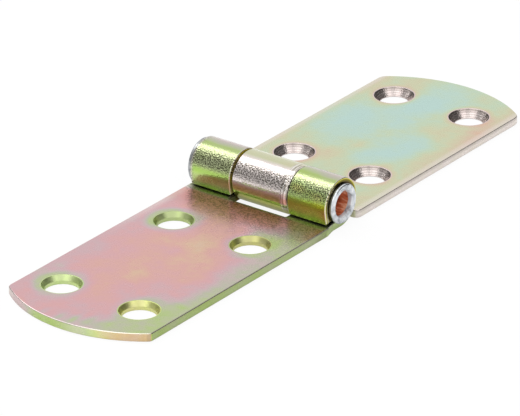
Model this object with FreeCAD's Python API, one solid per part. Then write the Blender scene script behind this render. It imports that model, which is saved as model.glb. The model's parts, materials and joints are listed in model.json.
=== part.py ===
import FreeCAD, Part
import math
import os

# Table hinge: two strap leaves with curled knuckles on a riveted tubular pin.
# Frame: X along the pin, the front leaf towards -Y, the rear leaf towards +Y, Z up.
# The origin lies on the plane that the open leaves rest on, below the middle of the pin.

V = FreeCAD.Vector
UP = V(0, 0, 1)
ALONG_PIN = V(1, 0, 0)
ORIGIN = V(0, 0, 0)
FULL_TURN = 360.0

# Sheet and leaves
sheet = 1.8
leaf_width = 35.0
leaf_reach = 67.5
end_bulge = 6.0
front_end_corner = 1.2
rear_end_corner = 2.4
front_inner_corner = 0.6
rear_inner_corner = 1.4
edge_bevel = 0.25

# Pin
pin_radius = 3.4
pin_wall = 0.7
head_flange = 1.5
head_thickness = 0.9
lip_flange = 0.75
lip_thickness = 0.9
head_edge = 0.35
mouth_flare = 0.3

# Knuckles
running_gap = 0.05
shoulder = 0.65
rivet_gap = 0.3
middle_knuckle = 13.45
left_gap = 0.65
right_gap = 0.25
notch_offset = 0.275
curl_tail = 2.4
curl_opening = 0.25
front_relief = 1.7
rear_relief = 0.75

# Screw holes
hole_side_margin = 8.0
hole_end_margin = 12.5
hole_first_row = 20.0
front_bore_radius = 3.4
front_sink_radius = 4.05
front_sink_depth = 1.0
rear_bore_radius = 2.95
rear_sink_radius = 4.25
rear_sink_depth = 1.6

# Worked-out sizes
roll_inner = pin_radius + running_gap
roll_outer = roll_inner + sheet
pin_height = roll_outer
barrel_half = leaf_width / 2 - shoulder
head_radius = pin_radius + head_flange
lip_radius = pin_radius + lip_flange
notch_left = notch_offset - (middle_knuckle + left_gap + right_gap) / 2
notch_right = notch_left + left_gap + middle_knuckle + right_gap
middle_left = notch_left + left_gap
middle_right = notch_right - right_gap
barrel_edge_at_sheet_top = math.sqrt(roll_outer ** 2 - roll_inner ** 2)


def point_on_circle(radius, degrees):
    """Point (y, z) at an angle round the pin axis, 0 towards -Y and 90 straight down."""
    angle = math.radians(degrees)
    return V(0, -radius * math.cos(angle), pin_height - radius * math.sin(angle))


def curl_end_angle():
    """Where the curl turns straight, so that its tip stays the opening above the sheet."""
    tip_distance = math.hypot(roll_outer, curl_tail)
    tip_drop = roll_inner - curl_opening
    return math.degrees(math.asin(tip_drop / tip_distance) - math.atan2(curl_tail, roll_outer))


def curl_section(reach):
    """Section of a knuckle: flat sheet, three quarters of a turn round the pin, straight tail."""
    end = curl_end_angle()
    tail = V(0, math.sin(math.radians(end)), -math.cos(math.radians(end))) * curl_tail
    outer_end = point_on_circle(roll_outer, end)
    inner_end = point_on_circle(roll_inner, end)
    outer_start = point_on_circle(roll_outer, 90)
    inner_start = point_on_circle(roll_inner, 90)
    outer_back = point_on_circle(roll_outer, 180 + end / 2)
    inner_back = point_on_circle(roll_inner, 180 + end / 2)
    flat_bottom = V(0, -reach, 0)
    flat_top = V(0, -reach, sheet)
    edges = [
        Part.LineSegment(flat_bottom, outer_start).toShape(),
        Part.Arc(outer_start, outer_back, outer_end).toShape(),
        Part.LineSegment(outer_end, outer_end + tail).toShape(),
        Part.LineSegment(outer_end + tail, inner_end + tail).toShape(),
        Part.LineSegment(inner_end + tail, inner_end).toShape(),
        Part.Arc(inner_end, inner_back, inner_start).toShape(),
        Part.LineSegment(inner_start, flat_top).toShape(),
        Part.LineSegment(flat_top, flat_bottom).toShape(),
    ]
    return Part.Face(Part.Wire(edges))


def knuckle(left, right, reach):
    """One curled knuckle with the tab that joins it to the plate."""
    section = curl_section(reach)
    section.translate(V(left, 0, 0))
    return section.extrude(V(right - left, 0, 0))


def upright_edges(solid, corners):
    """Edges that stand through the sheet at the given corners of its underside."""
    found = []
    for edge in solid.Edges:
        box = edge.BoundBox
        stands = box.ZLength > sheet / 2
        foot = V(box.Center.x, box.Center.y, 0)
        if stands and min(foot.distanceToPoint(corner) for corner in corners) < sheet / 10:
            found.append(edge)
    return found


def plate(inner_outline, end_corner, inner_corner):
    """Flat plate from its inner outline, given from left to right, to the bulged end."""
    left_end = V(-leaf_width / 2, end_bulge - leaf_reach, 0)
    right_end = V(leaf_width / 2, end_bulge - leaf_reach, 0)
    sides = Part.makePolygon([left_end] + inner_outline + [right_end])
    arc = Part.Arc(right_end, V(0, -leaf_reach, 0), left_end).toShape()
    solid = Part.Face(Part.Wire(sides.Edges + [arc])).extrude(UP * sheet)
    solid = solid.makeFillet(end_corner, upright_edges(solid, [left_end, right_end]))
    inner_corners = [inner_outline[0], inner_outline[-1]]
    return solid.makeFillet(inner_corner, upright_edges(solid, inner_corners))


def edge_beside(rivet_radius):
    """Distance from the pin where the full-width sheet starts, clear of a head or lip of this radius."""
    return math.sqrt(rivet_radius ** 2 - roll_inner ** 2) + rivet_gap


def rim_edges(solid):
    """Edges that bound the two skins of the sheet, apart from the holes' rims."""
    found = []
    for edge in solid.Edges:
        middle = edge.valueAt((edge.FirstParameter + edge.LastParameter) / 2)
        from_pin = math.hypot(middle.y, middle.z - pin_height)
        on_plate_skin = min(abs(middle.z), abs(middle.z - sheet)) < sheet / 100 and middle.y < 0
        on_roll_skin = min(abs(from_pin - roll_outer), abs(from_pin - roll_inner)) < sheet / 100
        along_pin = edge.BoundBox.YLength < sheet / 100 and edge.BoundBox.ZLength < sheet / 100
        if along_pin and abs(middle.y) < sheet / 100:
            continue
        if on_plate_skin or on_roll_skin:
            found.append(edge)
    return found


def hole_cutter(bore_radius, sink_radius, sink_depth):
    """Countersunk hole through the sheet, on the Z axis."""
    bore = Part.makeCylinder(bore_radius, sheet)
    sink = Part.makeCone(bore_radius, sink_radius, sink_depth, V(0, 0, sheet - sink_depth))
    return bore.fuse(sink)


def hole_places():
    """The four hole centres of a leaf, two rows of two."""
    across = leaf_width / 2 - hole_side_margin
    rows = (hole_first_row, leaf_reach - hole_end_margin)
    return [V(side * across, -row, 0) for row in rows for side in (-1, 1)]


def leaf(flat_plate, knuckles, bore_radius, sink_radius, sink_depth):
    """One leaf, drawn towards -Y: plate, knuckles, bevelled rims and countersunk holes."""
    solid = flat_plate
    for one_knuckle in knuckles:
        solid = solid.fuse(one_knuckle)
    solid = solid.removeSplitter()
    solid = solid.makeChamfer(edge_bevel, rim_edges(solid))
    cutter = hole_cutter(bore_radius, sink_radius, sink_depth)
    for place in hole_places():
        hole = cutter.copy()
        hole.translate(place)
        solid = solid.cut(hole)
    return solid


def front_leaf():
    """Leaf with the two outer knuckles. Its sides run on past the notch, up to the head and the lip."""
    half = leaf_width / 2
    inside_knuckle = barrel_half - sheet
    notch_edge = barrel_edge_at_sheet_top + front_relief
    beside_head = edge_beside(head_radius)
    beside_lip = edge_beside(lip_radius)
    inner_outline = [
        V(-half, -beside_head, 0),
        V(-inside_knuckle, -beside_head, 0),
        V(-inside_knuckle, -notch_edge, 0),
        V(inside_knuckle, -notch_edge, 0),
        V(inside_knuckle, -beside_lip, 0),
        V(half, -beside_lip, 0),
    ]
    flat_plate = plate(inner_outline, front_end_corner, front_inner_corner)
    left_knuckle = knuckle(-barrel_half, notch_left, notch_edge + sheet)
    right_knuckle = knuckle(notch_right, barrel_half, notch_edge + sheet)
    return leaf(flat_plate, [left_knuckle, right_knuckle],
                front_bore_radius, front_sink_radius, front_sink_depth)


def rear_leaf():
    """Leaf with the middle knuckle, drawn towards -Y and mirrored to +Y."""
    half = leaf_width / 2
    inner_edge = barrel_edge_at_sheet_top + rear_relief
    inner_outline = [V(-half, -inner_edge, 0), V(half, -inner_edge, 0)]
    flat_plate = plate(inner_outline, rear_end_corner, rear_inner_corner)
    middle = knuckle(middle_left, middle_right, inner_edge + sheet)
    solid = leaf(flat_plate, [middle], rear_bore_radius, rear_sink_radius, rear_sink_depth)
    return solid.mirror(ORIGIN, V(0, 1, 0))


def circles_at(solid, x, radius):
    """Circular edges round the pin at one place and radius."""
    found = []
    for edge in solid.Edges:
        box = edge.BoundBox
        round_it = abs(box.ZLength - 2 * radius) < pin_wall / 10 and box.XLength < pin_wall / 10
        if round_it and abs(box.Center.x - x) < pin_wall / 10:
            found.append(edge)
    return found


def hinge_pin():
    """Tubular pin: a formed head at the left, a riveted lip at the right, flared mouths at both."""
    bore_radius = pin_radius - pin_wall
    left_face = -barrel_half - head_thickness
    right_face = barrel_half + lip_thickness
    outline = [
        V(left_face + mouth_flare, 0, bore_radius),
        V(left_face, 0, bore_radius + mouth_flare),
        V(left_face, 0, head_radius),
        V(-barrel_half, 0, head_radius),
        V(-barrel_half, 0, pin_radius),
        V(barrel_half, 0, pin_radius),
        V(barrel_half, 0, lip_radius),
        V(right_face, 0, lip_radius),
        V(right_face, 0, bore_radius + mouth_flare),
        V(right_face - mouth_flare, 0, bore_radius),
    ]
    section = Part.Face(Part.makePolygon(outline + outline[:1]))
    solid = section.revolve(ORIGIN, ALONG_PIN, FULL_TURN)
    outer_rims = circles_at(solid, left_face, head_radius) + circles_at(solid, right_face, lip_radius)
    solid = solid.makeFillet(head_edge, outer_rims)
    solid.translate(V(0, 0, pin_height))
    return solid


def main():
    os.makedirs("parts", exist_ok=True)
    pieces = {
        "front_leaf": front_leaf(),
        "rear_leaf": rear_leaf(),
        "hinge_pin": hinge_pin(),
    }
    for name, shape in pieces.items():
        shape.exportStep("parts/" + name + ".step")


main()
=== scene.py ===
import json
import math

import bpy
import numpy as np
from mathutils import Matrix, Vector
from mathutils.geometry import delaunay_2d_cdt


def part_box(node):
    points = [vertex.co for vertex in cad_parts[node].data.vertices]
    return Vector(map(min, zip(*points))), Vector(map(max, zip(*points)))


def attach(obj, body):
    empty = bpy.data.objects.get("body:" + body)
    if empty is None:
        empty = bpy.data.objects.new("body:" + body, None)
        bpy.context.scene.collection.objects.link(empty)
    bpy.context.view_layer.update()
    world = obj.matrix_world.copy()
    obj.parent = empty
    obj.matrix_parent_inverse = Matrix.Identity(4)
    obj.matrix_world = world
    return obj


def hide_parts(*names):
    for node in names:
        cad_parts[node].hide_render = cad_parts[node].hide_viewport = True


# Fixed-pin table hinge: two pressed strap leaves, zinc plated and chromated, on a riveted tube.
# Each leaf is made as the real one is: a flat blank with rolled edges and sunk holes,
# whose tabs are then curled round the pin. All lengths are in metres.

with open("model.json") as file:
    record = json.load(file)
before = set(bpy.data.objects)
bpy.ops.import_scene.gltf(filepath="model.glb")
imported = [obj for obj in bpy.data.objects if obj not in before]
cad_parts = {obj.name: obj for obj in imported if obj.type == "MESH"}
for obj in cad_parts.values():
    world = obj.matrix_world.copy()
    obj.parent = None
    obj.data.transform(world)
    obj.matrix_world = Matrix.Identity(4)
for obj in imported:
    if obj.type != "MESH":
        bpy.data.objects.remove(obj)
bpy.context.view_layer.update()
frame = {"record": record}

MM = 0.001

# Sheet and leaves
front_low, front_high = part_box("front_leaf")
sheet = 1.8 * MM
leaf_half = front_high.x
leaf_reach = -front_low.y
roll_outer = front_high.z / 2
roll_inner = roll_outer - sheet
end_bulge = 6.0 * MM
front_end_corner, rear_end_corner = 1.2 * MM, 2.4 * MM
front_inner_corners = (0.55 * MM, 2.0 * MM)
rear_inner_corners = (1.4 * MM, 1.4 * MM)
front_relief, rear_relief = 1.7 * MM, 0.75 * MM

# Screw holes
front_sink, front_sink_depth = 4.05 * MM, 1.0 * MM
rear_sink, rear_sink_depth = 4.25 * MM, 1.6 * MM

# Edges of the sheet. Zero-radius rows on the cut edge carry the lines that the shear left.
bottom_round = 0.26 * MM
top_round = 0.24 * MM
bore_round = 0.16 * MM
sink_round = 0.1 * MM
burr_rows = (0.45 * MM, 0.65 * MM, 0.85 * MM)
skin_margin = 0.3 * MM

# Tabs of the blank. A root or shoulder within side_reach of the leaf's side has its own corner.
tip_corner = 0.4 * MM
root_corner = 0.3 * MM
shoulder_corner = 0.05 * MM
slope_corner = 1.0 * MM
side_reach = 1.0 * MM
tail_length = 2.4 * MM
tail_opening = 0.25 * MM
plate_start = 3.0 * MM

# The curl turns three quarters of a circle and a little on, so that its straight tail ends just above
# the sheet. Its length is measured on the outer side.
tip_distance = math.hypot(roll_outer, tail_length)
tail_lean = math.asin((roll_inner - tail_opening) / tip_distance) - math.atan2(tail_length, roll_outer)
curl_length = (1.5 * math.pi + tail_lean) * roll_outer

# Knuckles along the pin
barrel_half = leaf_half - 0.65 * MM
notch_left, middle_left = -6.9 * MM, -6.25 * MM
middle_right, notch_right = 7.2 * MM, 7.45 * MM
worn_width = 1.35 * MM
worn_depth = 0.3 * MM
worn_power = 1.5
shoulder_slope = 2.6 * MM

# Pin
pin_low, pin_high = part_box("hinge_pin")
pin_radius = 3.4 * MM
bore_radius = 2.7 * MM
head_radius = 4.9 * MM
lip_radius = 4.15 * MM
rivet_gap = 0.3 * MM
head_rim = 0.6 * MM
mouth_depth = 1.1 * MM
bore_margin = 0.02 * MM
lip_round, head_round, mouth_round = 0.42 * MM, 0.4 * MM, 0.5 * MM
back_round, neck_round = 0.15 * MM, 0.05 * MM

# Fineness of the meshes
skin_step = 0.55 * MM
edge_step = 0.4 * MM
pin_step = 0.5 * MM
shortest_step = 0.001 * MM
same_place = 1e-9
turn_step = math.radians(15)
ring_steps = 96
pin_steps = 160
cone_rows = 8


def unit(angle):
    """Unit vectors (cos, sin) at the angles of an array."""
    return np.stack([np.cos(angle), np.sin(angle)], axis=-1)


def rounded_path(corners, radii, step, closed=True):
    """Flat path through the corners, each rounded by its radius.
    An arc touches both runs at a corner: point = centre + radius * normal, the normal turning evenly
    from one run to the next. Returns the points and their unit normals on the path's right-hand side."""
    corners = np.asarray(corners, float)
    ahead = np.roll(corners, -1, axis=0) - corners
    length = np.linalg.norm(ahead, axis=1)
    ahead = ahead / length[:, None]
    behind = np.roll(ahead, 1, axis=0)
    right = np.stack([behind[:, 1], -behind[:, 0]], axis=1)
    turn = np.arctan2(behind[:, 0] * ahead[:, 1] - behind[:, 1] * ahead[:, 0], (behind * ahead).sum(1))
    radii = np.asarray(radii, float)
    if not closed:
        turn[[0, -1]] = 0.0
        right[0] = (ahead[0, 1], -ahead[0, 0])
    cut = radii * np.tan(np.abs(turn) / 2)
    points, normals = [], []
    for i in range(len(corners)):
        steps = math.ceil(abs(turn[i]) * max(1 / turn_step, radii[i] / step)) if radii[i] > 0 else 0
        angle = math.atan2(right[i, 1], right[i, 0]) + turn[i] * np.linspace(0, 1, steps + 1)
        side = math.copysign(1.0, turn[i])
        centre = corners[i] - behind[i] * cut[i] - right[i] * side * radii[i]
        if radii[i] == 0:
            centre = corners[i]
        points.append(centre + unit(angle) * side * radii[i])
        normals.append(unit(angle))
        if not closed and i == len(corners) - 1:
            break
        run = length[i] - cut[i] - cut[(i + 1) % len(corners)]
        pieces = max(1, math.ceil(run / step))
        along = cut[i] + run * np.arange(1, pieces)[:, None] / pieces
        points.append(corners[i] + ahead[i] * along)
        normals.append(np.repeat([[ahead[i, 1], -ahead[i, 0]]], pieces - 1, axis=0))
    points, normals = np.concatenate(points), np.concatenate(normals)
    gap = np.linalg.norm(points - np.roll(points, 1, axis=0), axis=1)
    keep = gap > shortest_step
    keep[0] = keep[0] or not closed
    return points[keep], normals[keep]


def carried(profile, profile_normal, path, path_normal):
    """Grid of a profile carried along a flat path: point = (path + normal * out, height)."""
    flat = path[:, None, :] + path_normal[:, None, :] * profile[None, :, :1]
    lean = path_normal[:, None, :] * profile_normal[None, :, :1]
    height = np.broadcast_to(profile[None, :, 1:], flat.shape[:2] + (1,))
    climb = np.broadcast_to(profile_normal[None, :, 1:], flat.shape[:2] + (1,))
    return np.concatenate([flat, height], axis=2), np.concatenate([lean, climb], axis=2)


def grid_faces(rows, columns, first, wrap_columns=False):
    """Quads of a grid whose rows close on themselves: corners (i, j), (i+1, j), (i+1, j+1), (i, j+1)."""
    i = np.arange(rows)[:, None]
    j = np.arange(columns if wrap_columns else columns - 1)[None, :]
    after_i, after_j = (i + 1) % rows, (j + 1) % columns
    corners = [i * columns + j, after_i * columns + j, after_i * columns + after_j, i * columns + after_j]
    return np.stack([c.ravel() for c in corners], axis=1) + first


def inside(points, outline):
    """True where a point lies inside the outline: an odd number of its sides lie to the point's right."""
    a, b = outline, np.roll(outline, -1, axis=0)
    py, px = points[:, None, 1], points[:, None, 0]
    spans = (a[None, :, 1] > py) != (b[None, :, 1] > py)
    span = np.where(spans, b[None, :, 1] - a[None, :, 1], 1.0)
    crossing = a[None, :, 0] + (py - a[None, :, 1]) * (b - a)[None, :, 0] / span
    return (spans & (crossing > px)).sum(1) % 2 == 1


def skin(outline, rings, centres):
    """Triangles of a flat skin: an even lattice inside the outline and outside the rings, joined to both.
    Returns the lattice points and faces that count the outline, the rings and the lattice in that order."""
    low, high = outline.min(0), outline.max(0)
    x, v = np.meshgrid(np.arange(low[0], high[0], skin_step), np.arange(low[1], high[1], skin_step))
    lattice = np.stack([x.ravel(), v.ravel()], axis=1)
    hole = np.linalg.norm(rings[0][0] - centres[0]) + skin_step / 2
    clear = np.min(np.linalg.norm(lattice[:, None] - centres[None], axis=2), axis=1) > hole
    lattice = lattice[clear & inside(lattice, outline)]
    near = np.min(np.linalg.norm(lattice[:, None] - outline[None], axis=2), axis=1) > skin_step / 2
    lattice = lattice[near]
    loops = [outline] + rings
    points = np.concatenate(loops + [lattice])
    starts = np.cumsum([0] + [len(loop) for loop in loops])
    edges = [
        (int(s + k), int(s + (k + 1) % len(loop)))
        for s, loop in zip(starts, loops) for k in range(len(loop))
    ]
    found = delaunay_2d_cdt([Vector(p) for p in points], edges, [], 0, same_place)
    source = np.array([given[0] for given in found[3]])
    faces = source[np.array(found[2])]
    middle = points[faces].mean(1)
    hole_middle = np.min(np.linalg.norm(middle[:, None] - centres[None], axis=2), axis=1)
    wanted = inside(middle, outline) & (hole_middle > hole - skin_step / 2)
    return lattice, faces[wanted]


def curl(points, normals, mirrored):
    """Bends a flat blank (x, v, height) round the pin. v is the distance from the pin along the sheet.
    Below v = 0 the sheet turns: its angle is 90 degrees - v / outer radius, and past the end of the turn
    it runs straight on. Point = axis + (outer radius - height) * radial + straight length * tangent."""
    x, v, height = np.moveaxis(points, -1, 0)
    turned = np.clip(-v, 0, curl_length)
    angle = math.pi / 2 + turned / roll_outer
    straight = v + turned
    inward = unit(angle)
    outgoing = np.stack([-inward[..., 1], inward[..., 0]], axis=-1)
    place = straight[..., None] * outgoing - (roll_outer - height)[..., None] * inward
    lean = normals[..., 1:2] * outgoing + normals[..., 2:3] * inward
    side = -1.0 if mirrored else 1.0
    bent = np.stack([x, side * place[..., 0], roll_outer + place[..., 1]], axis=-1)
    return bent, np.stack([normals[..., 0], side * lean[..., 0], lean[..., 1]], axis=-1)


def mesh_piece(name, points, normals, quads, triangles, attributes):
    """Object of the given points and faces, smooth, with exact normals. A face is turned about where its
    own normal, edge x edge, points against the sum of its points' normals."""
    faces = []
    for block in (quads, triangles):
        if len(block) == 0:
            continue
        corner = points[block]
        facing = np.cross(corner[:, 1] - corner[:, 0], corner[:, 2] - corner[:, 0])
        wrong = (facing * normals[block].sum(1)).sum(1) < 0
        block = np.where(wrong[:, None], block[:, ::-1], block)
        faces += block.tolist()
    mesh = bpy.data.meshes.new(name)
    mesh.from_pydata(points.tolist(), [], faces)
    mesh.polygons.foreach_set("use_smooth", np.ones(len(faces), bool))
    for label, values in attributes.items():
        kind = "FLOAT_VECTOR" if values.ndim == 2 else "FLOAT"
        field = "vector" if values.ndim == 2 else "value"
        stored = mesh.attributes.new(label, kind, "POINT")
        stored.data.foreach_set(field, np.ascontiguousarray(values, np.float32).ravel())
    mesh.normals_split_custom_set_from_vertices(normals.tolist())
    piece = bpy.data.objects.new(name, mesh)
    bpy.context.scene.collection.objects.link(piece)
    return piece


def blank_outline(tabs, roots, slope, end_corner, inner_corners):
    """Outline of a leaf's flat blank: bulged end, straight sides, stepped tabs, each side of a tab with a
    root of its own. The right side starts higher and slopes to the root. The end arc has its radius from
    its width and bulge, and the end corners touch both the arc and the side."""
    arc_radius = (leaf_half ** 2 + end_bulge ** 2) / (2 * end_bulge)
    arc_centre = leaf_reach - arc_radius
    lean = math.asin((leaf_half - end_corner) / (arc_radius - end_corner))
    apex = arc_centre + arc_radius / math.cos(lean)
    side = arc_centre + (arc_radius - leaf_half * math.sin(lean)) / math.cos(lean)
    tip = -curl_length - tail_length
    corners = [(leaf_half, side), (0, apex), (-leaf_half, side), (-leaf_half, roots[0][0])]
    radii = [end_corner, arc_radius, end_corner, inner_corners[0]]
    for (left, right), (left_root, right_root) in zip(tabs, roots):
        corners += [(left, left_root), (left, tip), (right, tip), (right, right_root)]
        radii += [shoulder_corner if left + leaf_half < side_reach else root_corner, tip_corner, tip_corner]
        radii.append(slope_corner if leaf_half - right < side_reach else root_corner)
    corners.append((leaf_half, roots[-1][1] + slope))
    radii.append(inner_corners[1])
    return rounded_path(corners, radii, edge_step)


def worn_edge(points, normals):
    """The die has drawn down one side of the middle tab: height += depth * t^power * (1 - height / sheet),
    where t rises from 0 to 1 over the worn width. Normals follow by the inverse transpose."""
    x, v, height = points.T
    t = np.clip((x - middle_right) / worn_width + 1, 0, 1) * (v < plate_start)
    drop = worn_depth * t ** worn_power
    slope = worn_power * worn_depth * t ** (worn_power - 1) / worn_width
    share = 1 - height / sheet
    up = normals[:, 2] / (1 - drop / sheet)
    tilted = np.stack([normals[:, 0] - slope * share * up, normals[:, 1], up], axis=1)
    tilted /= np.linalg.norm(tilted, axis=1)[:, None]
    return np.stack([x, v, height + drop * share], axis=1), tilted


def leaf(name, outline, bore, sink, sink_depth, finish, mirrored):
    """One leaf. The profile of its rolled edge is carried along the blank's outline, and the profile of a
    sunk hole round each centre. Two flat skins join them, and then the tabs are curled."""
    path, path_normal = outline
    edge = rounded_path(
        [(-skin_margin, 0), (0, 0), *[(0, row) for row in burr_rows], (0, sheet), (-skin_margin, sheet)],
        [0, bottom_round, *[0] * len(burr_rows), top_round, 0], sheet, closed=False)
    down = np.arange(1, cone_rows) / cone_rows
    cone = [(sink + (bore - sink) * part, sheet - sink_depth * part) for part in down]
    hole = rounded_path(
        [(sink + skin_margin, sheet), (sink, sheet), *cone,
         (bore, sheet - sink_depth), (bore, 0), (bore + skin_margin, 0)],
        [0, sink_round, *[0] * len(cone), sink_round, bore_round, 0], sheet, closed=False)
    blocks = [carried(*edge, path, path_normal)]
    centres = np.array([(x, v) for v in hole_rows for x in (-hole_side, hole_side)])
    around = unit(np.linspace(0, 2 * math.pi, ring_steps, endpoint=False))
    for centre in centres:
        blocks.append(carried(*hole, np.repeat(centre[None], ring_steps, axis=0), around))
    points = [block[0].reshape(-1, 3) for block in blocks]
    normals = [block[1].reshape(-1, 3) for block in blocks]
    firsts = np.cumsum([0] + [len(p) for p in points])
    quads = [grid_faces(*block[0].shape[:2], first) for block, first in zip(blocks, firsts)]
    triangles = []
    for height, rim, ring, up in ((0, 0, -1, -1.0), (sheet, -1, 0, 1.0)):
        rings = [block[0][:, ring, :2] for block in blocks[1:]]
        lattice, faces = skin(blocks[0][0][:, rim, :2], rings, centres)
        columns = [blocks[0][0].shape[1]] + [block[0].shape[1] for block in blocks[1:]]
        shared = [
            first + np.arange(block[0].shape[0]) * count + (column % count)
            for block, first, count, column in zip(blocks, firsts, columns, [rim] + [ring] * len(rings))
        ]
        start = sum(len(p) for p in points)
        index = np.concatenate(shared + [start + np.arange(len(lattice))])
        triangles.append(index[faces])
        points.append(np.column_stack([lattice, np.full(len(lattice), height)]))
        normals.append(np.tile([0.0, 0.0, up], (len(lattice), 1)))
    points, normals = np.concatenate(points), np.concatenate(normals)
    attributes = {"blank": points / MM, **finish(points / MM, normals)}
    if mirrored:
        points, normals = worn_edge(points, normals)
    bent, bent_normals = curl(points, normals, mirrored)
    return mesh_piece(name, bent, bent_normals, np.concatenate(quads), np.concatenate(triangles), attributes)


def pin(name):
    """Riveted tube: a closed section of bore, shaft, formed head and lip, turned round the pin axis:
    point = (x, -radius * cos(turn), pin height + radius * sin(turn))."""
    left, right = pin_low.x, pin_high.x
    corners = np.array([
        (right, lip_radius, lip_round), (barrel_half, lip_radius, back_round),
        (barrel_half, pin_radius, neck_round), (-barrel_half, pin_radius, neck_round),
        (-barrel_half, head_radius, back_round), (left + head_rim, head_radius, 0),
        (left, head_radius, head_round), (left, bore_radius, mouth_round),
        (right - mouth_depth, bore_radius, 0), (right, bore_radius, mouth_round),
    ])
    section, section_normal = rounded_path(corners[:, :2], corners[:, 2], pin_step)
    around = np.linspace(0, 2 * math.pi, pin_steps, endpoint=False)
    spoke = np.stack([np.zeros_like(around), -np.cos(around), np.sin(around)], axis=1)
    points = spoke[:, None, :] * section[None, :, 1:] + [0, 0, roll_outer]
    points[..., 0] = section[None, :, 0]
    normals = spoke[:, None, :] * section_normal[None, :, 1:]
    normals[..., 0] = section_normal[None, :, 0]
    faces = grid_faces(pin_steps, len(section), 0, wrap_columns=True)

    # Zones in mm, along the pin and from its axis
    x, radius = section.T / MM
    on_head = x < -17
    head_edge = rise(x, -17.5, -17.66) * rise(radius, 4.4, 4.8)
    head_joint = rise(x, -17.2, -17.05) * (x < 0)
    behind_lip = rise(x, 16.8, 16.9) * rise(x, 17.4, 17.3) * rise(radius, 3.9, 4.1)
    # Painted shade darkens the head's rim, the seam beside the knuckle and the back of the lip; the head
    # itself is tarnished
    tarnish_and_shade = np.maximum(0.7 * head_edge + 0.7 * head_joint, 0.4 * on_head) + 0.8 * behind_lip
    mouth = rise(radius, 3.3, 2.9) * (np.abs(x) > 16)
    attributes = {"tarnish_and_shade": np.tile(tarnish_and_shade, pin_steps), "mouth": np.tile(mouth, pin_steps)}
    return mesh_piece(name, points.reshape(-1, 3), normals.reshape(-1, 3), faces, [], attributes)


# Finish of the leaves. Places are mm on the flat blank: x along the pin, and v from the pin along the
# sheet, negative round the curl. A film's number is its thickness, which the chromate's colours follow.
# The dull values are roughnesses.
straw_film, pink_film, grey_film, wall_film = 0.25, 0.58, 0.7, 0.87
grey_green_film, shaded_film = 0.85, 0.86
green_film, lime_film, yellow_film, olive_film, gold_film = 0.97, 1.0, 1.1, 1.12, 1.14
front_crown_film, rear_plate_film = 0.74, 0.2
barrel_dull, plate_dull, cone_dull, gap_dull = 0.13, 0.24, 0.38, 0.6

# Distances in mm: the sinks' reach from a hole's centre, the pitch of the rings turned in them,
# half the width of a shear line, and where the plate clears the knuckles
front_cone_reach, rear_cone_reach, hole_clear = 4.2, 4.4, 4.5
turning_pitch = 0.4
line_half = 0.05
curl_edge = 5.8

# Soft blotches as (x, v, width, length, change of film)
front_blotches = [
    (1.5, 26, 5, 7, -0.12), (-3, 41, 5.5, 5, -0.13), (5, 34, 4, 4, -0.1), (9.5, 49, 3, 3.5, 0.15),
    (13.5, 36, 2.2, 9, -0.08), (9, 61.5, 3.5, 3, 0.17), (-17, 53, 2, 3, 0.1), (1.8, 65, 0.7, 2.5, 0.14),
    (-15, 49, 2, 2, 0.08), (14, 50, 2, 2.5, 0.06), (4.6, 63.5, 0.9, 3, 0.15), (-1.2, 66, 0.6, 1.8, 0.12),
    (-5, 66, 0.7, 1.5, 0.1)]
front_curl_blotches = [
    (9, -16.5, 3, 2, 0.04), (14.5, -16.7, 2, 1.6, -0.04), (14.5, -25, 3, 2.5, 0.04),
    (17, -25.5, 1.5, 2, 0.12), (9.3, -21.7, 2.6, 1.3, 0.2), (14.5, -22.2, 2.4, 1.2, 0.16)]
rear_blotches = [
    (-9, 40, 8.5, 8, -0.24), (-0.5, 57, 5, 11, -0.22), (7, 34, 5, 7, -0.19), (4, 27, 3.5, 4, -0.12),
    (14, 50, 4.5, 6, 0.12), (9.5, 46, 2.5, 4, 0.08), (-4, 24, 4, 4, 0.08), (-15.5, 57, 3, 5, 0.05)]


def rise(value, start, end):
    """Smooth step: 0 up to start, 1 past end, 3t^2 - 2t^3 between. End may lie below start."""
    t = np.clip((value - start) / (end - start), 0, 1)
    return t * t * (3 - 2 * t)


def hole_distance(x, v):
    """Distance in mm from a place on the blank to the nearest hole's centre."""
    return np.hypot(np.abs(x) - hole_side / MM, np.abs(np.abs(v - row_middle / MM) - row_half / MM))


def end_distance(x, v):
    """Distance in mm from a place on the blank to the bulged end."""
    radius = (leaf_half ** 2 + end_bulge ** 2) / (2 * end_bulge) / MM
    return radius - np.hypot(x, v - leaf_reach / MM + radius)


def patches(x, v, places):
    """Sum of soft patches, each amount * exp(-((x - x0) / width)^2 - ((v - v0) / length)^2)."""
    total = np.zeros_like(x)
    for x0, v0, width, length, amount in places:
        total += amount * np.exp(-((x - x0) / width) ** 2 - ((v - v0) / length) ** 2)
    return total


def rubbed(normals, hole):
    """Share of bare zinc on the rolled edges: 4 n^2 (1 - n^2), with n the normal's height. It is the most
    where the surface leans 45 degrees."""
    upright = normals[:, 2] ** 2
    return 4 * upright * (1 - upright) * (hole > hole_clear)


def cut_share(normals):
    """Smooth share of a cut edge: 1 where the surface stands, and 0 on the faces of the sheet."""
    return rise(np.abs(normals[:, 2]), 0.85, 0.5)


def colour_drift(in_hole, curl_skin, cut):
    """How far the film drifts from place to place: the least in the holes and on the knuckles."""
    return np.where(in_hole, 0.02, np.where(curl_skin, 0.03, 0.08 - 0.03 * cut))


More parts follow.
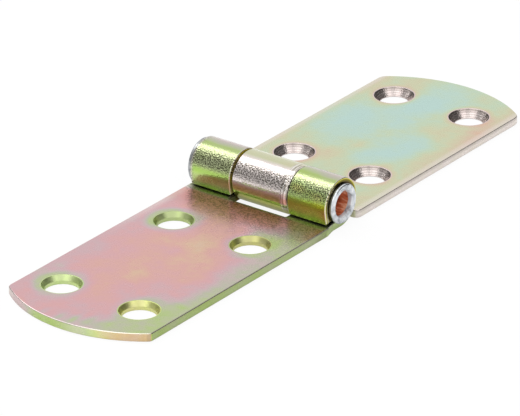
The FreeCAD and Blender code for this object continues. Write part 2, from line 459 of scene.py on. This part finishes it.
def front_finish(blank, normals):
    """Chromate film on the front leaf: peach and pink in the middle, mauve and grey-green towards the edges
    and the holes, green on the left knuckle and yellow-olive on the right. With it go bare zinc on the
    edges, painted shade and a bright line where the shear left its marks on the outer ends of the curls,
    painted shade on the notch's walls and on the cut edges near the barrel, a copper-brown painted
    reflection of the barrel close beside it, a pale painted reflection of the pin's head on the plate's left
    side, dark speckle painted as shade on the knuckle fronts and beside the barrel, and the grain and
    dullness that the curling left."""
    x, v, height = blank.T
    hole, end = hole_distance(x, v), end_distance(x, v)
    on_barrel = v < plate_start / MM
    curl_skin = (height < sheet / MM / 2) & on_barrel
    in_hole = hole < front_cone_reach
    across = np.abs(normals[:, 0])
    cut = cut_share(normals)
    facing_gap = (across > 0.9) & on_barrel & (x > -12) & (x < 0)
    at_rivets = (across > 0.5) & (v < -7) & (np.abs(x) > 16)

    # Film on the plate
    outer_holes = 0.4 + 0.6 * rise(np.abs(x), 9, 13)
    round_hole = 0.22 * rise(hole, 7, 4.5) + 0.05 * rise(hole, 5.8, 4.6)
    end_corner = rise(x, 4, 12) * rise(v, 46, 56)
    root_side = rise(x, 6, 13) * rise(v, 26, 15)
    along_end = rise(end, 5, 1.5) * rise(x, -6, 4)
    top = pink_film + patches(x, v, front_blotches) + round_hole * outer_holes
    top += 0.05 * rise(x, -10.5, -16.5) + 0.2 * rise(x, 9, 16)
    top += 0.1 * end_corner + 0.12 * root_side + 0.13 * along_end
    top = np.minimum(top, grey_green_film)
    close, under_barrel = rise(v, 15, 9.5), rise(v, 6.8, 5.8)
    close_film = 0.55 + 0.13 * rise(x, 6, 14)
    top += (close_film - top) * close * rise(x, -17, -13)
    top += (shaded_film - top) * under_barrel

    # Film on the curls, then on the cut edges and in the holes
    curl_front, curl_under = rise(v, -16.6, -18.2), rise(v, -22.5, -25)
    curl = front_crown_film + 0.05 * rise(v, -15.4, -16.6) + 0.12 * curl_front
    curl += patches(x, v, front_curl_blotches) + (0.08 + 0.05 * rise(x, 6, 8)) * curl_under
    film = np.where(curl_skin, curl, top)
    at_end = rise(v, 61, 61.5)
    wall = wall_film + at_end * (0.02 - 0.17 * rise(x, -4, -12) + 0.34 * rise(x, 2, 13))
    film = np.where(in_hole, np.where(x < 0, lime_film, yellow_film), film + (wall - film) * cut)
    film = np.where(at_rivets, np.where(x < 0, green_film, olive_film), film)
    film = np.where(facing_gap, gold_film, film)

    # Painted shade on the curls' outer ends beside the head and the lip, with a dark line along one shear
    # row, along the top of the right edge, on the notch's walls and on the cut edges near the barrel; the
    # right side walls and the holes less than 30 mm from the pin are a little darker. The bright shear line
    # is in the bare zinc below.
    low_side = rise(v, -18, -20)
    dark_line, bright_line = (np.abs(height - row / MM) < line_half for row in burr_rows[:2])
    end_shade = 0.8 * rise(height, 0.2, 0.45) * (1 - low_side) + 0.75 * low_side * dark_line
    end_shade = np.minimum(1.0, end_shade + 0.8 * rise(height, 0.65, 0.85))
    right_edge = rise(x, 17.25, 17.35) * rise(height, 1.5, 1.6) * ~on_barrel
    notch_wall = rise(across, 0.8, 0.97) * (v < curl_edge) * (v > 0) * (np.abs(x) < 12)
    plate_cut = cut * (v > curl_edge)
    shade_and_marks = np.maximum.reduce([
        at_rivets * end_shade, 0.45 * right_edge, 0.85 * notch_wall,
        0.35 * plate_cut * rise(v, 12, 7), 0.16 * plate_cut * (x > 17)])
    shade_and_marks = np.where(in_hole, 0.2 * (v < 30), shade_and_marks)

    # Bare zinc: edges, left end, curl fronts, end wall, shear line, undersides. On the left side of the
    # plate the same pale zinc is a painted reflection of the pin's head.
    bare_and_sheen = np.maximum.reduce([
        rubbed(normals, hole) * (1 - at_rivets * (x < 0)),
        0.8 * curl_skin * rise(x, -16, -16.4),
        0.32 * curl_skin * rise(v, -17.8, -18.8) * rise(v, -24, -22.6),
        0.55 * rise(x, -15.2, -17) * rise(v, 36, 12) * (v > 5),
        0.45 * cut * at_end * rise(x, -3, 5),
        0.9 * at_rivets * low_side * bright_line,
        (0.28 - 0.18 * rise(x, 4, 8)) * curl_skin * rise(v, -24, -25.5)])
    bare_and_sheen = np.where(in_hole, 0.4, bare_and_sheen)

    # Painted speckle of shade on the knuckle fronts and on the plate beside the barrel, grain and dullness
    shade_speckle = 0.9 * curl_skin * rise(v, -18.4, -20.2) * rise(v, -23.5, -22.9)
    shade_speckle = np.maximum(shade_speckle, 0.7 * curl_skin * rise(x, -15.9, -16.3))
    shade_speckle += 0.55 * close * (v > 0) * (1 - cut) * rise(x - 0.75 * v, -22.5, -20.5)
    coarse = 0.03 + 0.39 * rise(v, 17, 8) + 0.6 * rise(v, -18.8, -20.4) - 0.7 * rise(v, -23, -24.5)
    dull = np.where(in_hole, cone_dull, np.where(on_barrel, barrel_dull, plate_dull + 0.08 * close))
    dull = np.where(facing_gap, gap_dull, dull + 0.12 * curl_skin * rise(v, -24, -25.5))
    # Painted reflection of the barrel: a copper-brown tint on the plate close beside it
    barrel_reflection = 0.35 * close * (1 - under_barrel) * (1 - cut) * rise(x, 11, 3)
    return {
        "film": film, "bare_and_sheen": bare_and_sheen, "shade_and_marks": shade_and_marks, "coarse": np.where(in_hole, 0.15, coarse),
        "drift": colour_drift(in_hole, curl_skin, cut), "dull": dull, "shade_speckle": shade_speckle,
        "drawn": np.zeros_like(x), "barrel_reflection": barrel_reflection}


def rear_finish(blank, normals):
    """Chromate film on the rear leaf: blotches of cyan among green and straw, peach at one end corner.
    The film on the knuckle's front is rubbed down to bare zinc; below it the knuckle is olive-gold, a
    painted reflection of the front leaf, with painted shade under it and on its face in the right gap. The
    drawn side of the knuckle is scored along the turn, and dark speckle is painted as shade on its front.
    The edges and the holes are nearly bare, with painted shade along the top of the cut edges, and the
    sinks show the rings that the countersink turned."""
    x, v, height = blank.T
    hole = hole_distance(x, v)
    on_barrel = v < plate_start / MM
    curl_skin = (height < sheet / MM / 2) & on_barrel
    in_hole = hole < rear_cone_reach
    cut = cut_share(normals)
    facing_gap = (np.abs(normals[:, 0]) > 0.9) & on_barrel

    # Film on the plate, on the curl, and on the cut edges and in the holes
    top = rear_plate_film + patches(x, v, rear_blotches)
    top += 0.1 * rise(x, 12, 17) + 0.06 * rise(x, -14, -17) + 0.1 * rise(hole, 6, 4.6)
    # Olive-gold low on the knuckle is a painted reflection of the front leaf
    curl = yellow_film - 0.06 * rise(v, -5.8, -6.8) - 0.79 * rise(v, -13, -13.6)
    film = np.where(curl_skin, curl, top)
    film = np.where(in_hole, grey_film, film + (straw_film - film) * cut)
    film = np.where(facing_gap, gold_film, film)

    # Bare zinc on the rubbed front of the knuckle, the plate's sides and the cut edges
    rubbed_front = (0.25 * rise(v, -3, -5) + 0.95 * rise(v, -6.8, -9.6)) * rise(v, -15.5, -14.5)
    bare_and_sheen = np.maximum.reduce([
        rubbed(normals, hole), curl_skin * rubbed_front,
        0.5 * rise(np.abs(x), 15.8, 16.8) * (v > 5), 0.95 * cut * (v > 5)])
    bare_and_sheen = np.where(in_hole, 0.85, bare_and_sheen)

    # Painted shade along the top of the cut edges, on the knuckle's face in the right gap and under the
    # knuckle, with the rings that the countersink turned drawn dark in the sinks
    ring = 0.5 - 0.5 * np.cos(2 * math.pi * (sheet / MM - height) / turning_pitch)
    shade_and_marks = 0.4 * cut * rise(height, 1.0, 1.5) * (v > 5) + (0.08 + 0.34 * ring) * in_hole
    shade_and_marks = np.maximum.reduce([shade_and_marks, 0.9 * facing_gap * (x > 0), 0.4 * curl_skin * rise(v, -5.9, -5.0)])

    # Grain, dullness, painted speckle of shade on the knuckle's front, and scores
    coarse = 0.03 + 0.14 * rise(v, 17, 8) + 0.85 * rise(v, -8.5, -10.5) * rise(v, -14.4, -13)
    dull = np.where(facing_gap, gap_dull, np.where(on_barrel, barrel_dull, plate_dull))
    shade_speckle = 0.9 * curl_skin * rise(v, -9.7, -10.2) * rise(v, -14.2, -12.4)
    drawn = 0.85 * curl_skin * rise(x, 5.4, 5.9) * rise(v, -4, -6) * rise(v, -19, -16)
    return {
        "film": film, "bare_and_sheen": bare_and_sheen, "shade_and_marks": shade_and_marks, "coarse": np.where(in_hole, 0.6, coarse),
        "drift": colour_drift(in_hole, curl_skin, cut), "dull": dull, "shade_speckle": shade_speckle,
        "drawn": drawn, "barrel_reflection": np.zeros_like(x)}


mounts = {mount["name"]: mount for mount in frame["record"]["mounts"]}
front_holes = mounts["front_screws"]
hole_side = front_holes["dims"]["spacing_x_mm"] * MM / 2
row_middle = abs(front_holes["pos_m"][1])
row_half = front_holes["dims"]["spacing_y_mm"] * MM / 2
hole_rows = (row_middle - row_half, row_middle + row_half)
front_bore = front_holes["dims"]["hole_r_mm"] * MM
rear_bore = mounts["rear_screws"]["dims"]["hole_r_mm"] * MM

barrel_edge = math.sqrt(roll_outer ** 2 - roll_inner ** 2)
front_notch, rear_edge = barrel_edge + front_relief, barrel_edge + rear_relief
beside_head = math.sqrt(head_radius ** 2 - roll_inner ** 2) + rivet_gap
beside_lip = math.sqrt(lip_radius ** 2 - roll_inner ** 2) + rivet_gap
front_blank = blank_outline(
    [(-barrel_half, notch_left), (notch_right, barrel_half)],
    [(beside_head, front_notch), (front_notch, beside_lip)],
    shoulder_slope, front_end_corner, front_inner_corners)
rear_blank = blank_outline(
    [(middle_left, middle_right)], [(rear_edge, rear_edge)], 0, rear_end_corner, rear_inner_corners)
front_sheet = leaf(
    "front_leaf_sheet", front_blank, front_bore, front_sink, front_sink_depth, front_finish, False)
rear_sheet = leaf("rear_leaf_sheet", rear_blank, rear_bore, rear_sink, rear_sink_depth, rear_finish, True)
pin_tube = pin("pin_tube")


def linear(code):
    """Linear colour from an sRGB hex code."""
    channel = np.array([int(code[i:i + 2], 16) for i in (1, 3, 5)]) / 255
    channel = np.where(channel <= 0.04045, channel / 12.92, ((channel + 0.055) / 1.055) ** 2.4)
    return (*channel.tolist(), 1.0)


def add(tree, kind, inputs=(), output=0, **settings):
    """Adds one shader node. Each input is a value or another node's output. Returns the named output."""
    made = tree.nodes.new(kind)
    for key, value in settings.items():
        setattr(made, key, value)
    for key, value in dict(inputs).items():
        if isinstance(value, bpy.types.NodeSocket):
            tree.links.new(value, made.inputs[key])
        else:
            made.inputs[key].default_value = value
    return made.outputs[output]


def fill_stops(ramp, stops):
    """Gives a colour ramp its stops, a list of (place, hex code) in rising order."""
    ramp.elements.remove(ramp.elements[1])
    ramp.elements[0].position = stops[0][0]
    ramp.elements[0].color = linear(stops[0][1])
    for place, code in stops[1:]:
        ramp.elements.new(place).color = linear(code)


def new_material(name):
    """Empty node material with its output, as (material, tree, output node)."""
    material = bpy.data.materials.new(name)
    material.use_nodes = True
    tree = material.node_tree
    tree.nodes.clear()
    return material, tree, tree.nodes.new("ShaderNodeOutputMaterial")


# The chromate's colours by the film's thickness
chromate_colours = [
    (0.0, "#B6D3CB"), (0.08, "#BAD3C3"), (0.16, "#C1D1B3"), (0.24, "#CBCCA9"), (0.31, "#CFC5A6"),
    (0.38, "#D4BCA4"), (0.45, "#D8B49B"), (0.52, "#D8A89F"), (0.59, "#D6A6A8"), (0.66, "#CDABB0"),
    (0.72, "#C6B3B0"), (0.78, "#BAB8A6"), (0.83, "#B7BF97"), (0.87, "#B1C384"), (0.92, "#ACC270"),
    (0.97, "#A5C861"), (1.02, "#B2D44E"), (1.08, "#C5D340"), (1.13, "#CCC43C"), (1.19, "#D0AC40"),
    (1.25, "#C89A40")]
thickest_film = chromate_colours[-1][0]
# Colours over the film: bare zinc, which also paints a reflection; the painted reflection of the barrel;
# dark brown for painted shade and the sinks' turned rings; and the painted speckle of shade
bare_zinc_and_sheen, barrel_reflection_tint, shade_and_mark_brown, shade_speckle_colour = "#E6DCD8", "#CF7A5E", "#43351A", "#38331F"


def chromated_zinc():
    """Zinc plating under a thin chromate film: a clear metal whose colour runs through cyan, green, straw,
    pink, mauve, green, olive and gold as the film thickens. Bare zinc shows along the edges, and the same
    pale zinc paints a reflection of the pin's head on the front plate. Dark brown paints shade at the ends,
    in the gaps, in the notch, under the middle knuckle and by the barrel, and draws the turned rings in the
    sinks. A copper-brown tint beside the barrel is a painted reflection of it. Dark speckle is painted as
    shade on the fronts of the knuckles and beside the barrel, and scores run round the knuckle where the die
    drew the sheet. Noise scales are marks in a millimetre. The real grain is finer than the image shows, so
    the grain and the painted speckle are drawn as coarse as about 0.3 mm."""
    material, tree, out = new_material("yellow_chromated_zinc")
    film, bare_and_sheen, shade_and_marks, coarse, drift, dull, shade_speckle, drawn, barrel_reflection = (
        add(tree, "ShaderNodeAttribute", output="Fac", attribute_name=name)
        for name in ("film", "bare_and_sheen", "shade_and_marks", "coarse", "drift", "dull", "shade_speckle", "drawn", "barrel_reflection"))
    blank = add(tree, "ShaderNodeAttribute", output="Vector", attribute_name="blank")
    along = add(tree, "ShaderNodeVectorMath", {0: blank, 1: (3.2, 0.22, 1.0)}, operation="MULTIPLY")
    broad, cloud, grain, speckle_noise, score = (
        add(tree, "ShaderNodeTexNoise",
            {"Vector": place, "Scale": scale, "Detail": detail, "Roughness": roughness})
        for place, scale, detail, roughness in (
            (blank, 0.16, 2.0, 0.45), (blank, 0.6, 3.0, 0.5), (blank, 3.4, 1.0, 0.4),
            (blank, 3.6, 1.0, 0.5), (along, 1.0, 3.0, 0.6)))
    far, near, patchy, varied, speckled_shade = (
        add(tree, "ShaderNodeMapRange",
            {"Value": noise, "From Min": low, "From Max": high, "To Min": first, "To Max": last})
        for noise, low, high, first, last in (
            (broad, 0.25, 0.75, -1.0, 1.0), (cloud, 0.25, 0.75, -0.3, 0.3), (cloud, 0.3, 0.6, 0.75, 1.0),
            (cloud, 0.3, 0.7, 0.85, 1.2), (speckle_noise, 0.43, 0.53, 1.0, 0.0)))
    both = add(tree, "ShaderNodeMath", {0: far, 1: near}, operation="ADD")
    film = add(tree, "ShaderNodeMath", {0: both, 1: drift, 2: film}, operation="MULTIPLY_ADD")
    bare_and_sheen, speckled_shade, rough = (
        add(tree, "ShaderNodeMath", {0: share, 1: noise}, operation="MULTIPLY")
        for share, noise in ((bare_and_sheen, patchy), (speckled_shade, shade_speckle), (dull, varied)))
    place = add(tree, "ShaderNodeMath", {0: film, 1: thickest_film}, operation="DIVIDE")
    colour = add(tree, "ShaderNodeValToRGB", {"Fac": place})
    fill_stops(colour.node.color_ramp, [(stop / thickest_film, code) for stop, code in chromate_colours])
    scored = add(tree, "ShaderNodeValToRGB", {"Fac": score})
    fill_stops(scored.node.color_ramp, [(0.36, "#6E655A"), (0.47, "#CFC8C0"), (0.6, "#F6F2EE")])
    # Over the film: bare zinc with a painted reflection, the painted reflection of the barrel, the scores,
    # painted shade with the turned rings, and painted speckle of shade
    for share, over in (
            (bare_and_sheen, linear(bare_zinc_and_sheen)), (barrel_reflection, linear(barrel_reflection_tint)), (drawn, scored),
            (shade_and_marks, linear(shade_and_mark_brown)), (speckled_shade, linear(shade_speckle_colour))):
        colour = add(tree, "ShaderNodeMix", {"Factor": share, 6: colour, 7: over},
                     output=2, data_type="RGBA")
    normal = add(tree, "ShaderNodeBump", {"Height": grain, "Strength": coarse, "Distance": 0.085 * MM})
    shader = add(tree, "ShaderNodeBsdfPrincipled",
                 {"Base Color": colour, "Metallic": 1.0, "Roughness": rough, "Normal": normal})
    tree.links.new(shader, out.inputs["Surface"])
    return material


def bright_zinc():
    """Bright zinc on the riveted tube: bluish white, with nicks from the riveting tool. The head is
    tarnished brown-grey, and the same colour paints shade round the head's rim, behind the lip and in the
    seam beside the knuckle. It is matt where the tool spread the mouth."""
    material, tree, out = new_material("bright_zinc_plate")
    place = add(tree, "ShaderNodeTexCoord", output="Object")
    spots = add(tree, "ShaderNodeTexNoise", {"Vector": place, "Scale": 1 / (1.2 * MM), "Detail": 3.0})
    tone = add(tree, "ShaderNodeValToRGB", {"Fac": spots})
    fill_stops(tone.node.color_ramp, [(0.3, "#8C8E92"), (0.44, "#C2C7CC"), (0.62, "#E2E5E8")])
    tarnish_and_shade = add(tree, "ShaderNodeAttribute", output="Fac", attribute_name="tarnish_and_shade")
    tone = add(tree, "ShaderNodeMix", {"Factor": tarnish_and_shade, 6: tone, 7: linear("#4E4A3C")},
               output=2, data_type="RGBA")
    grain = add(tree, "ShaderNodeTexNoise", {"Vector": place, "Scale": 1 / (0.5 * MM), "Detail": 4.0})
    normal = add(tree, "ShaderNodeBump", {"Height": grain, "Strength": 1.0, "Distance": 0.04 * MM})
    mouth = add(tree, "ShaderNodeAttribute", output="Fac", attribute_name="mouth")
    metal = add(tree, "ShaderNodeMapRange", {"Value": mouth, "To Min": 1.0, "To Max": 0.25})
    rough = add(tree, "ShaderNodeMapRange", {"Value": mouth, "To Min": 0.28, "To Max": 0.6})
    shader = add(tree, "ShaderNodeBsdfPrincipled",
                 {"Base Color": tone, "Metallic": metal, "Roughness": rough, "Normal": normal})
    tree.links.new(shader, out.inputs["Surface"])
    return material


def coppered_bore():
    """Thin copper wash inside the tube: red-orange, streaked where the drawing left it uneven."""
    material, tree, out = new_material("coppered_bore")
    place = add(tree, "ShaderNodeTexCoord", output="Object")
    along = add(tree, "ShaderNodeVectorMath", {0: place, 1: (0.3, 1.0, 1.0)}, operation="MULTIPLY")
    spots = add(tree, "ShaderNodeTexNoise", {"Vector": along, "Scale": 1 / (0.9 * MM), "Detail": 3.0})
    tone = add(tree, "ShaderNodeValToRGB", {"Fac": spots})
    fill_stops(tone.node.color_ramp, [(0.35, "#B45C36"), (0.5, "#E08258"), (0.62, "#FFC4A0")])
    shader = add(tree, "ShaderNodeBsdfPrincipled", {"Base Color": tone, "Metallic": 0.2, "Roughness": 0.5})
    tree.links.new(shader, out.inputs["Surface"])
    return material


leaf_finish = chromated_zinc()
front_sheet.data.materials.append(leaf_finish)
rear_sheet.data.materials.append(leaf_finish)
pin_tube.data.materials.append(bright_zinc())
pin_tube.data.materials.append(coppered_bore())
pin_faces = np.array([polygon.center for polygon in pin_tube.data.polygons])
from_axis = np.hypot(pin_faces[:, 1], pin_faces[:, 2] - roll_outer)
near_bore = from_axis < bore_radius + bore_margin
in_bore = near_bore & (np.abs(pin_faces[:, 0]) < pin_high.x - mouth_depth)
pin_tube.data.polygons.foreach_set("material_index", in_bore.astype(np.int32))

for piece, node, body, slot in (
        (front_sheet, "front_leaf", "front", "leaf_plating"),
        (rear_sheet, "rear_leaf", "rear", "leaf_plating"),
        (pin_tube, "hinge_pin", "front", "pin_plating")):
    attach(piece, body)
    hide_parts(node)

# Camera, fitted to the outline of the hinge in the photograph
camera_azimuth = math.radians(37.2633)
camera_elevation = math.radians(25.4542)
camera_roll = math.radians(-0.5608)
camera_distance = 936.37 * MM
camera_aside, camera_above = -2.5155 * MM, -5.2509 * MM
image_width, focal_pixels, sensor_width = 520, 4693.84, 36.0
nearest_seen, farthest_seen = 0.01, 20.0

# Light tent. Each opening or panel is (azimuth from the camera, elevation, inner and outer radius in
# degrees, share of the light taken away), and a share below 0 adds light.
tent_openings = [
    (-84, 22, 27, 30, 0.52), (86, 24, 24, 30, 0.88), (-130, 8, 18, 24, 0.85), (128, 10, 18, 24, 0.85),
    (-35, 48, 16, 24, -0.9), (42, 48, 12, 20, -0.9)]
white = (1.0, 1.0, 1.0, 1.0)

# Table top. It shines white to the camera but for a faint shadow, and is dim in the metal's reflections.
table_radius, table_drop, table_steps = 3.0, 0.02 * MM, 96
table_colour = (0.95, 0.95, 0.95, 1.0)
shine_to_camera, shine_in_metal = 0.92, 0.25

# Softbox
softbox_width, softbox_length, softbox_watts = 0.34, 1.0, 1.9
softbox_direction, softbox_distance = (-0.547, -0.03, 0.836), 0.85


def direction(azimuth, elevation):
    """Unit vector from the object towards a compass angle from the camera's own azimuth."""
    angle = camera_azimuth + math.radians(azimuth)
    flat = math.cos(math.radians(elevation))
    return (math.sin(angle) * flat, -math.cos(angle) * flat, math.sin(math.radians(elevation)))


def photo_camera():
    """Camera at the photograph's angle, a little aside of the line through the middle of the pin."""
    back = Vector(direction(0, math.degrees(camera_elevation)))
    right = Vector((math.cos(camera_azimuth), math.sin(camera_azimuth), 0))
    up = back.cross(right)
    rolled_right = math.cos(camera_roll) * right + math.sin(camera_roll) * up
    rolled_up = back.cross(rolled_right)
    data = bpy.data.cameras.new("photo_camera")
    data.sensor_width = sensor_width
    data.lens = focal_pixels * sensor_width / image_width
    data.clip_start, data.clip_end = nearest_seen, farthest_seen
    camera = bpy.data.objects.new("photo_camera", data)
    camera.rotation_mode = "QUATERNION"
    camera.rotation_quaternion = Matrix((rolled_right, rolled_up, back)).transposed().to_quaternion()
    offset = back * camera_distance + rolled_right * camera_aside + rolled_up * camera_above
    camera.location = Vector((0, 0, roll_outer)) + offset
    bpy.context.scene.collection.objects.link(camera)
    bpy.context.scene.camera = camera


def light_tent():
    """White light tent: dark openings at each side of the camera and further round, and two brighter
    panels above it. Light = the product of 1 - share * smooth step of the nearness to each middle. The
    camera itself sees plain white."""
    world = bpy.data.worlds.new("light_tent")
    bpy.context.scene.world = world
    world.use_nodes = True
    tree = world.node_tree
    tree.nodes.clear()
    towards = add(tree, "ShaderNodeTexCoord", output="Generated")
    light = 1.0
    for azimuth, elevation, inner, outer, taken in tent_openings:
        nearness = add(tree, "ShaderNodeVectorMath", {0: towards, 1: direction(azimuth, elevation)},
                       output="Value", operation="DOT_PRODUCT")
        dimmed = add(tree, "ShaderNodeMapRange", {
            "Value": nearness, "From Min": math.cos(math.radians(outer)),
            "From Max": math.cos(math.radians(inner)), "To Min": 1.0, "To Max": 1.0 - taken},
            interpolation_type="SMOOTHSTEP")
        light = add(tree, "ShaderNodeMath", {0: light, 1: dimmed}, operation="MULTIPLY")
    ray = tree.nodes.new("ShaderNodeLightPath")
    light = add(tree, "ShaderNodeMath", {0: light, 1: ray.outputs["Is Camera Ray"]}, operation="MAXIMUM")
    glow = add(tree, "ShaderNodeBackground", {"Color": white, "Strength": light})
    out = tree.nodes.new("ShaderNodeOutputWorld")
    tree.links.new(glow, out.inputs["Surface"])


def floor():
    """Round white table top under the hinge. It keeps a faint shadow."""
    rim = unit(np.linspace(0, 2 * math.pi, table_steps, endpoint=False)) * table_radius
    points = np.column_stack([rim, np.full(table_steps, -table_drop)])
    mesh = bpy.data.meshes.new("white_table")
    mesh.from_pydata(points.tolist(), [], [list(range(table_steps))])
    table = bpy.data.objects.new("white_table", mesh)
    bpy.context.scene.collection.objects.link(table)
    material, tree, out = new_material("white_table_top")
    plain = add(tree, "ShaderNodeBsdfDiffuse", {"Color": table_colour})
    glow = add(tree, "ShaderNodeEmission", {"Color": white, "Strength": 1.0})
    ray = tree.nodes.new("ShaderNodeLightPath").outputs
    mirrored = add(tree, "ShaderNodeMath",
                   {0: ray["Is Glossy Ray"], 1: ray["Is Transmission Ray"]}, operation="MAXIMUM")
    in_metal = add(tree, "ShaderNodeMath", {0: mirrored, 1: shine_in_metal}, operation="MULTIPLY")
    seen = add(tree, "ShaderNodeMath", {0: ray["Is Camera Ray"], 1: shine_to_camera}, operation="MULTIPLY")
    share = add(tree, "ShaderNodeMath", {0: seen, 1: in_metal}, operation="MAXIMUM")
    both = add(tree, "ShaderNodeMixShader", {0: share, 1: plain, 2: glow})
    tree.links.new(both, out.inputs["Surface"])
    mesh.materials.append(material)


def softbox():
    """One large soft lamp over the left end of the hinge."""
    data = bpy.data.lights.new("softbox", "AREA")
    data.shape = "RECTANGLE"
    data.size, data.size_y = softbox_width, softbox_length
    data.energy = softbox_watts
    lamp = bpy.data.objects.new("softbox", data)
    towards = Vector(softbox_direction).normalized()
    lamp.location = towards * softbox_distance
    lamp.rotation_mode = "QUATERNION"
    lamp.rotation_quaternion = towards.to_track_quat("Z", "Y")
    bpy.context.scene.collection.objects.link(lamp)


photo_camera()
light_tent()
floor()
softbox()
bpy.context.scene.view_settings.view_transform = "Standard"
